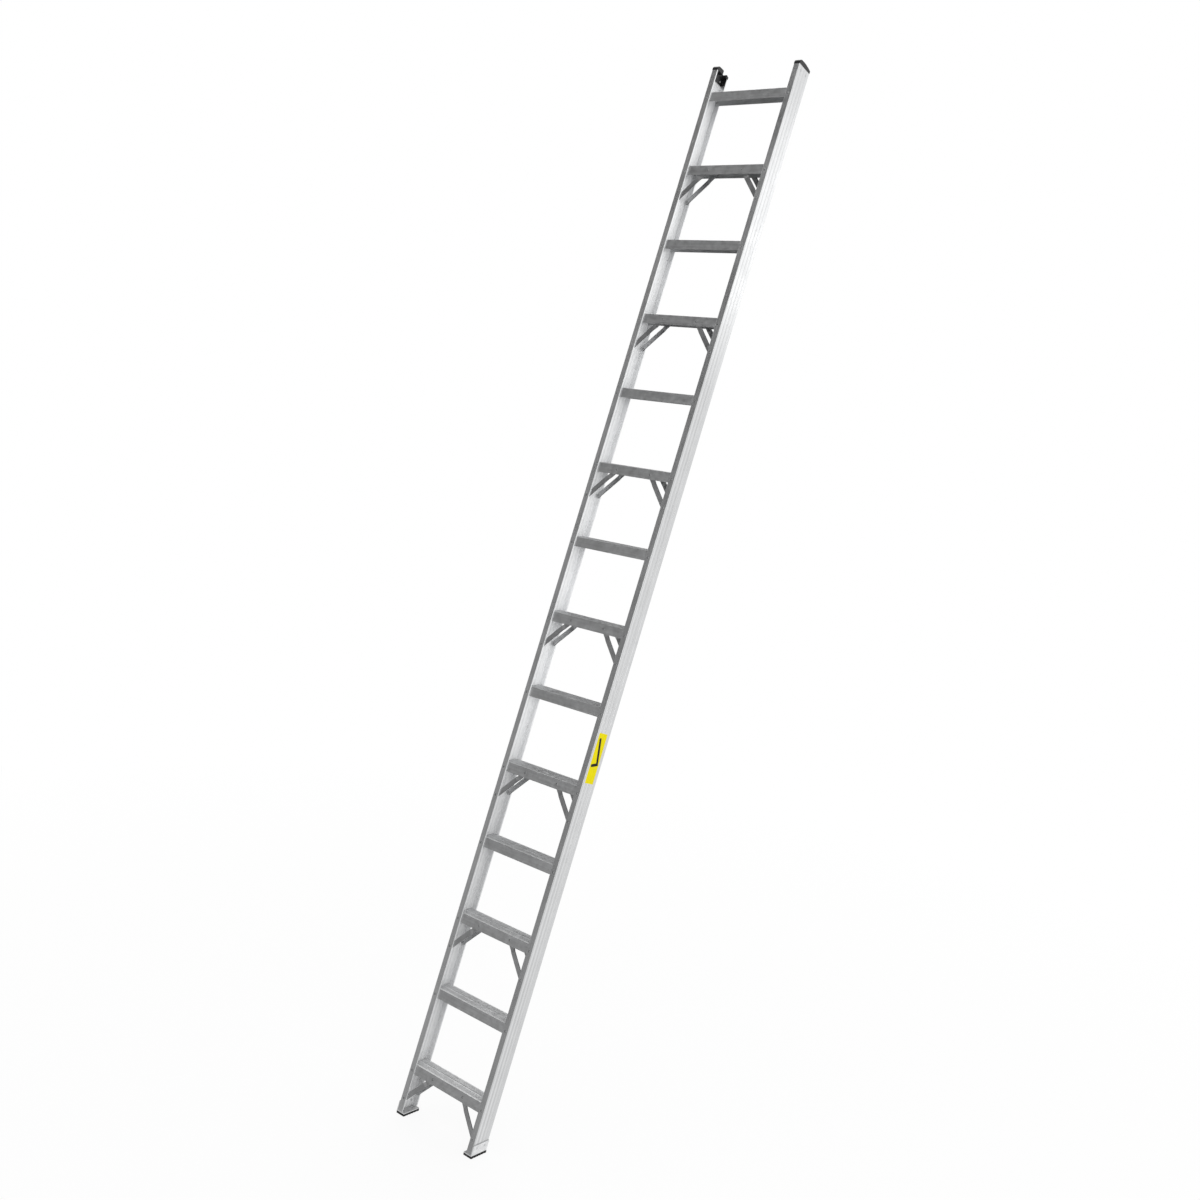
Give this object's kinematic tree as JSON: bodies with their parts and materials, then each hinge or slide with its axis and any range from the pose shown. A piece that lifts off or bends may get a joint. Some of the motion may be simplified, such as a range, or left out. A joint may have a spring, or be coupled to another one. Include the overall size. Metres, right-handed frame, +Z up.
{
  "type": "straight ladder",
  "caption": "Straight leaning ladder with flat ribbed treads, channel rails, knee braces, moulded top caps and fixed rubber-soled feet.",
  "frame": {"origin": "middle of the floor area under the leaning ladder, at floor level", "axes": "+X towards the right rail as seen by the climber, +Y the way the ladder leans, +Z up"},
  "size_m": [0.4158, 1.14, 4.1349],
  "materials": {
    "rail_aluminium": "mill finish, drawn lengthwise",
    "tread_aluminium": "mill finish, ribbed top",
    "brace_aluminium": "mill finish",
    "shoe_aluminium": "mill finish",
    "rivet_aluminium": "satin",
    "cap_plastic": "moulded, fine grain",
    "pad_rubber": "moulded, matt",
    "decal_film": "printed film, semi gloss"
  },
  "bodies": {
    "root": {"left_rail": "rail_aluminium", "right_rail": "rail_aluminium", "left_cap": "cap_plastic", "right_cap": "cap_plastic", "left_shoe": "shoe_aluminium", "right_shoe": "shoe_aluminium", "left_pad": "pad_rubber", "right_pad": "pad_rubber", "tread_01": "tread_aluminium", "tread_02": "tread_aluminium", "tread_03": "tread_aluminium", "tread_04": "tread_aluminium", "tread_05": "tread_aluminium", "tread_06": "tread_aluminium", "tread_07": "tread_aluminium", "tread_08": "tread_aluminium", "tread_09": "tread_aluminium", "tread_10": "tread_aluminium", "tread_11": "tread_aluminium", "tread_12": "tread_aluminium", "tread_13": "tread_aluminium", "tread_14": "tread_aluminium", "brace_01_front_right": "brace_aluminium", "brace_01_rear_right": "brace_aluminium", "brace_01_front_left": "brace_aluminium", "brace_01_rear_left": "brace_aluminium", "brace_03_front_right": "brace_aluminium", "brace_03_rear_right": "brace_aluminium", "brace_03_front_left": "brace_aluminium", "brace_03_rear_left": "brace_aluminium", "brace_05_front_right": "brace_aluminium", "brace_05_rear_right": "brace_aluminium", "brace_05_front_left": "brace_aluminium", "brace_05_rear_left": "brace_aluminium", "brace_07_front_right": "brace_aluminium", "brace_07_rear_right": "brace_aluminium", "brace_07_front_left": "brace_aluminium", "brace_07_rear_left": "brace_aluminium", "brace_09_front_right": "brace_aluminium", "brace_09_rear_right": "brace_aluminium", "brace_09_front_left": "brace_aluminium", "brace_09_rear_left": "brace_aluminium", "brace_11_front_right": "brace_aluminium", "brace_11_rear_right": "brace_aluminium", "brace_11_front_left": "brace_aluminium", "brace_11_rear_left": "brace_aluminium", "brace_13_front_right": "brace_aluminium", "brace_13_rear_right": "brace_aluminium", "brace_13_front_left": "brace_aluminium", "brace_13_rear_left": "brace_aluminium", "tread_rivets": "rivet_aluminium", "brace_rivets": "rivet_aluminium", "cap_rivets": "rivet_aluminium", "shoe_rivets": "rivet_aluminium", "pad_rivets": "rivet_aluminium", "angle_decal": "decal_film"}
  },
  "joints": []
}
